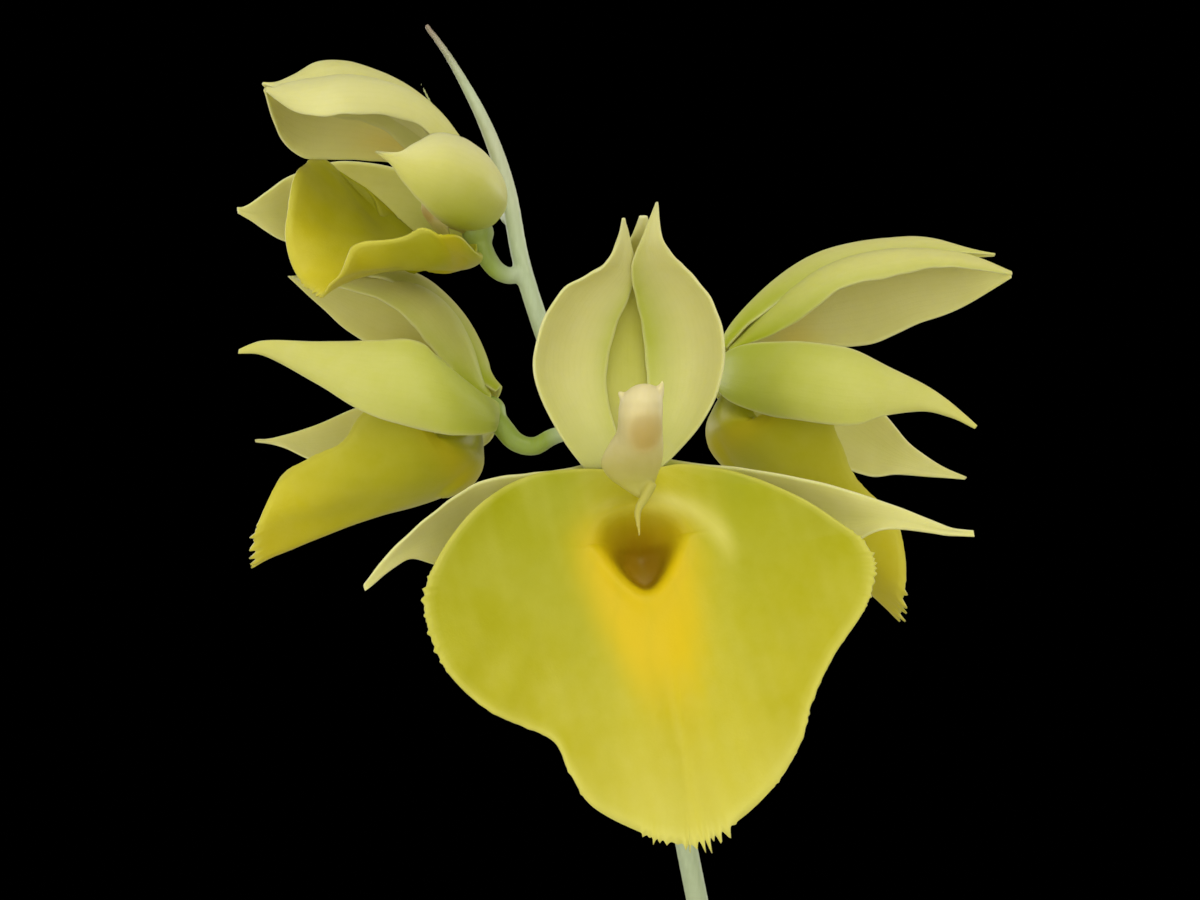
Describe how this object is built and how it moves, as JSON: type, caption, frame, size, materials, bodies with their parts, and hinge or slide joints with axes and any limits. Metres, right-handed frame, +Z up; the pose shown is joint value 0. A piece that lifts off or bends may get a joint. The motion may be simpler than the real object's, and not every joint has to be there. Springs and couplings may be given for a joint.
{
  "type": "potted orchid",
  "caption": "Catasetum pileatum orchid in a clay pot, with pleated leaves and an upright spike of open, hooded, yellow-green flowers with broad lips.",
  "frame": {"origin": "centre of the pot's base, on the floor", "axes": "+Z up along the plant's height; -Y is the side the largest flower faces; +X to the right seen from there"},
  "size_m": [0.3287, 0.2086, 0.4608],
  "materials": {
    "clay": "matte fired clay",
    "bark": "rough",
    "pseudobulb": "waxy green under dry sheaths",
    "leaf": "satin",
    "spike": "satin",
    "tepal": "satin, slightly translucent",
    "lip": "waxy",
    "column": "waxy"
  },
  "bodies": {
    "root": {"pot": "clay", "bark_medium": "bark", "pseudobulb_lead": "pseudobulb", "pseudobulb_back_1": "pseudobulb", "pseudobulb_back_2": "pseudobulb", "pseudobulb_back_3": "pseudobulb", "leaf_1": "leaf", "leaf_2": "leaf", "leaf_3": "leaf", "leaf_4": "leaf", "leaf_5": "leaf", "leaf_6": "leaf", "flower_spike": "spike", "flower_1_dorsal_sepal": "tepal", "flower_1_petal_left": "tepal", "flower_1_petal_right": "tepal", "flower_1_lateral_sepal_left": "tepal", "flower_1_lateral_sepal_right": "tepal", "flower_1_lip": "lip", "flower_1_column": "column", "flower_2_dorsal_sepal": "tepal", "flower_2_petal_left": "tepal", "flower_2_petal_right": "tepal", "flower_2_lateral_sepal_left": "tepal", "flower_2_lateral_sepal_right": "tepal", "flower_2_lip": "lip", "flower_2_column": "column", "flower_3_dorsal_sepal": "tepal", "flower_3_petal_left": "tepal", "flower_3_petal_right": "tepal", "flower_3_lateral_sepal_left": "tepal", "flower_3_lateral_sepal_right": "tepal", "flower_3_lip": "lip", "flower_3_column": "column", "flower_4_dorsal_sepal": "tepal", "flower_4_petal_left": "tepal", "flower_4_petal_right": "tepal", "flower_4_lateral_sepal_left": "tepal", "flower_4_lateral_sepal_right": "tepal", "flower_4_lip": "lip", "flower_4_column": "column"}
  },
  "joints": []
}
